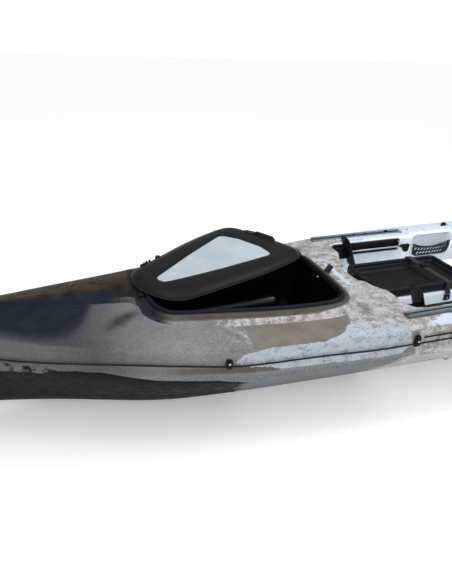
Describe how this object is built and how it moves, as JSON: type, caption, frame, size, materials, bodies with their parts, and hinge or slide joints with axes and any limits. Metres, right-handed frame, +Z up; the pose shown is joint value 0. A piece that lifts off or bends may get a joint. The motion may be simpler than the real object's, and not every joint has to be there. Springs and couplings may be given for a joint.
{
  "type": "fishing kayak",
  "caption": "Sit-on-top fishing kayak with swinging front hatch lid, centre pod, sliding foot braces, framed folding seat, rod holders and rear tankwell.",
  "frame": {"origin": "on the hull's flat keel, on the centreline, halfway between bow tip and stern tip", "axes": "+X toward the stern, -X toward the bow, -Y port, +Y starboard, +Z up"},
  "size_m": [4.27, 0.967, 0.7113],
  "materials": {
    "hull_plastic": "rotomoulded, speckled, fine orange peel",
    "black_plastic": "moulded, satin",
    "liner_plastic": "glossy",
    "gasket_rubber": "matt",
    "foam_pad": "closed-cell foam, matt",
    "pod_plastic": "satin",
    "aluminium": "satin anodised",
    "rope": "braided",
    "webbing": "woven",
    "mesh": "open diamond mesh",
    "sling_fabric": "woven sling"
  },
  "bodies": {
    "hull": {"hull": "hull_plastic", "hatch_liner_tub": "liner_plastic", "hatch_gasket": "gasket_rubber", "hatch_pull_tab": "webbing", "pod_latch_block": "black_plastic", "pod_strap_eye_port": "black_plastic", "pod_strap_eye_starboard": "black_plastic", "foot_track_port": "black_plastic", "foot_track_starboard": "black_plastic", "gear_track_port": "aluminium", "gear_track_starboard": "aluminium", "mesh_pocket_port": "mesh", "mesh_pocket_starboard": "mesh", "side_line_port": "rope", "side_line_starboard": "rope", "trolley_line_port": "rope", "trolley_line_starboard": "rope", "pad_eye_1_port": "black_plastic", "pad_eye_1_starboard": "black_plastic", "pad_eye_2_port": "black_plastic", "pad_eye_2_starboard": "black_plastic", "pad_eye_3_port": "black_plastic", "pad_eye_3_starboard": "black_plastic", "pad_eye_4_port": "black_plastic", "pad_eye_4_starboard": "black_plastic", "pad_eye_5_port": "black_plastic", "pad_eye_5_starboard": "black_plastic", "gunwale_eye_port": "black_plastic", "gunwale_eye_starboard": "black_plastic", "bow_handle": "black_plastic", "stern_handle": "black_plastic", "rod_holder_port": "black_plastic", "rod_holder_starboard": "black_plastic", "tankwell_bungee": "rope"},
    "lid_post": {"hatch_swivel_post": "black_plastic"},
    "lid": {"hatch_lid_shell": "black_plastic", "hatch_lid_pad": "foam_pad", "hatch_lid_latch": "black_plastic"},
    "pod": {"pod_tray": "pod_plastic", "pod_strap": "webbing", "pod_strap_buckle": "black_plastic"},
    "pod_latch": {"pod_latch_knob": "black_plastic"},
    "pedal_port": {"pedal_carriage_port": "black_plastic", "pedal_plate_port": "black_plastic"},
    "pedal_starboard": {"pedal_carriage_starboard": "black_plastic", "pedal_plate_starboard": "black_plastic"},
    "brace_port": {"brace_rod_port": "aluminium", "brace_handle_port": "black_plastic"},
    "brace_starboard": {"brace_rod_starboard": "aluminium", "brace_handle_starboard": "black_plastic"},
    "seat": {"seat_base_frame": "aluminium", "seat_base_sling": "sling_fabric", "seat_skid_port": "black_plastic", "seat_skid_starboard": "black_plastic"},
    "seat_back": {"seat_back_frame": "aluminium", "seat_back_sling": "sling_fabric"},
    "side_handle_port": {"side_handle_port": "black_plastic"},
    "side_handle_starboard": {"side_handle_starboard": "black_plastic"},
    "drain_plug": {"drain_plug": "black_plastic"}
  },
  "joints": [
    {"name": "hatch_lid_swing", "type": "hinge", "parent": "hull", "child": "lid_post", "pos_m": [-1.32, 0, 0.38], "axis": [0, 0, 1], "range_deg": [-30.3, 5]},
    {"name": "hatch_lid_lift", "type": "hinge", "parent": "lid_post", "child": "lid", "pos_m": [-1.30878, 0.00656, 0.3925], "axis": [0.5045, -0.8634, 0], "range_deg": [0, 75]},
    {"name": "pod_lift", "type": "slide", "parent": "hull", "child": "pod", "axis": [0, 0, 1], "range_m": [0, 0.3]},
    {"name": "pod_latch_turn", "type": "hinge", "parent": "hull", "child": "pod_latch", "pos_m": [-0.453, -0.03, 0.3475], "axis": [0, 0, 1], "range_deg": [0, 90]},
    {"name": "pedal_slide_port", "type": "slide", "parent": "hull", "child": "pedal_port", "axis": [1, 0, 0], "range_m": [-0.002, 0.23]},
    {"name": "pedal_slide_starboard", "type": "slide", "parent": "hull", "child": "pedal_starboard", "axis": [1, 0, 0], "range_m": [-0.002, 0.23]},
    {"name": "brace_handle_turn_port", "type": "hinge", "parent": "pedal_port", "child": "brace_port", "pos_m": [-0.065, -0.2615, 0.329], "axis": [1, 0, 0], "range_deg": [0, 60]},
    {"name": "brace_handle_turn_starboard", "type": "hinge", "parent": "pedal_starboard", "child": "brace_starboard", "pos_m": [-0.065, 0.2615, 0.329], "axis": [1, 0, 0], "range_deg": [-60, 0]},
    {"name": "seat_slide", "type": "slide", "parent": "hull", "child": "seat", "axis": [1, 0, 0], "range_m": [-0.02, 0.1]},
    {"name": "seat_back_recline", "type": "hinge", "parent": "seat", "child": "seat_back", "pos_m": [0.63, 0, 0.283], "axis": [0, 1, 0], "range_deg": [-88, 12]},
    {"name": "side_handle_swing_port", "type": "hinge", "parent": "hull", "child": "side_handle_port", "pos_m": [0.425, -0.44201, 0.341], "axis": [1, 0, 0], "range_deg": [-110, 0]},
    {"name": "side_handle_swing_starboard", "type": "hinge", "parent": "hull", "child": "side_handle_starboard", "pos_m": [0.425, 0.44201, 0.341], "axis": [1, 0, 0], "range_deg": [0, 110]},
    {"name": "drain_plug_turn", "type": "hinge", "parent": "hull", "child": "drain_plug", "pos_m": [1.81, 0, 0.38611], "axis": [-0.0712, 0, 0.9975], "range_deg": [0, 360]}
  ]
}
